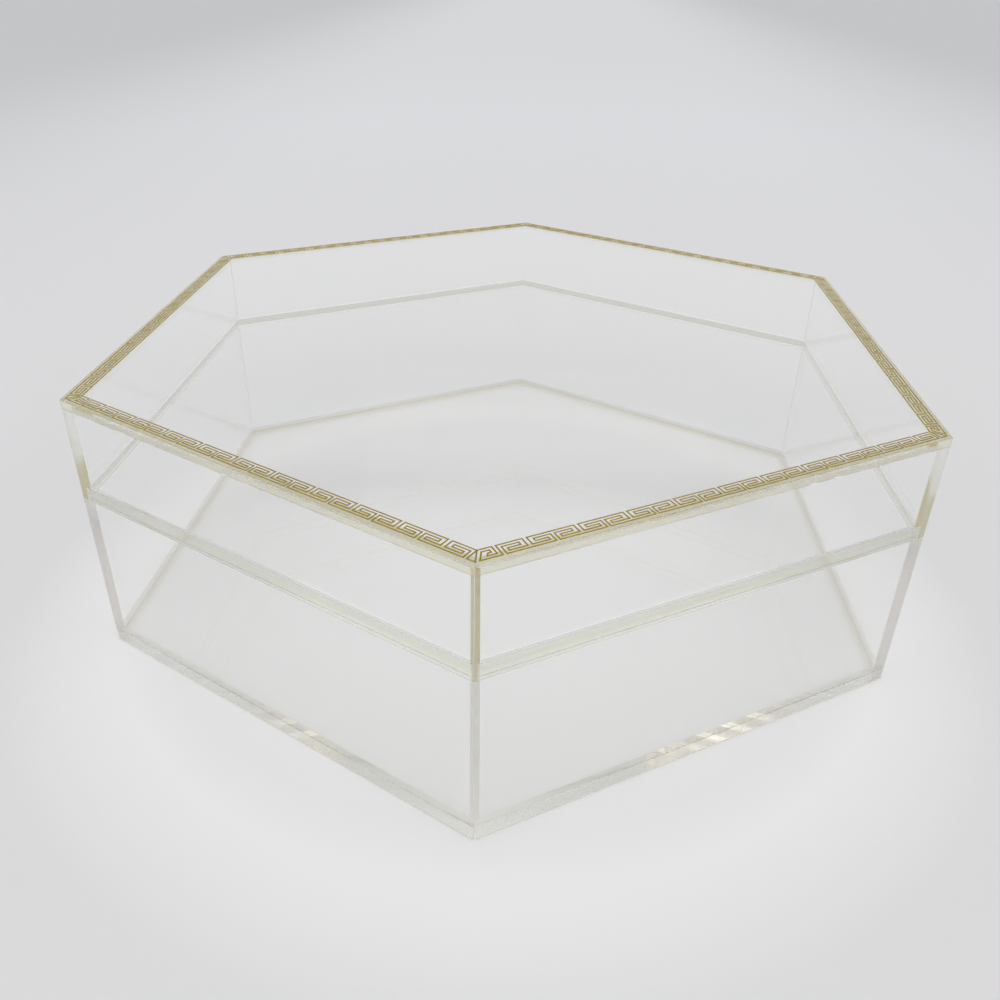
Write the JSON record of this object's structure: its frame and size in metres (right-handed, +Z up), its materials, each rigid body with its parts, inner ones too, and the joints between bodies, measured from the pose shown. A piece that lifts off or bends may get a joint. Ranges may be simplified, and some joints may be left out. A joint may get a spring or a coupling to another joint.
{
  "type": "wedding card box",
  "caption": "Hexagonal clear acrylic box with a lift-off lid that seats on a tongue along the rim, and a gold key border round the lid's top.",
  "frame": {"origin": "centre of the underside of the floor plate", "axes": "+Z up; one corner of the hexagon points towards -Y, flats face +X and -X; seen from above the sides run anticlockwise from the front right one"},
  "size_m": [0.2772, 0.32, 0.0961],
  "materials": {
    "clear_acrylic": "clear cast acrylic sheet, polished faces and edges, faint warm green in its thickness",
    "gold_line": "thin bright gold line laid on the sheet, slightly uneven, dark where it mirrors the dark"
  },
  "bodies": {
    "base": {"floor_plate": "clear_acrylic", "base_wall_front_right": "clear_acrylic", "base_wall_right": "clear_acrylic", "base_wall_back_right": "clear_acrylic", "base_wall_back_left": "clear_acrylic", "base_wall_left": "clear_acrylic", "base_wall_front_left": "clear_acrylic"},
    "lid": {"top_plate": "clear_acrylic", "lid_wall_front_right": "clear_acrylic", "lid_wall_right": "clear_acrylic", "lid_wall_back_right": "clear_acrylic", "lid_wall_back_left": "clear_acrylic", "lid_wall_left": "clear_acrylic", "lid_wall_front_left": "clear_acrylic", "key_border_front_right": "gold_line", "key_border_right": "gold_line", "key_border_back_right": "gold_line", "key_border_back_left": "gold_line", "key_border_left": "gold_line", "key_border_front_left": "gold_line"}
  },
  "joints": [
    {"name": "lid_lift", "type": "slide", "parent": "base", "child": "lid", "axis": [0, 0, 1], "range_m": [0, 0.15]}
  ]
}
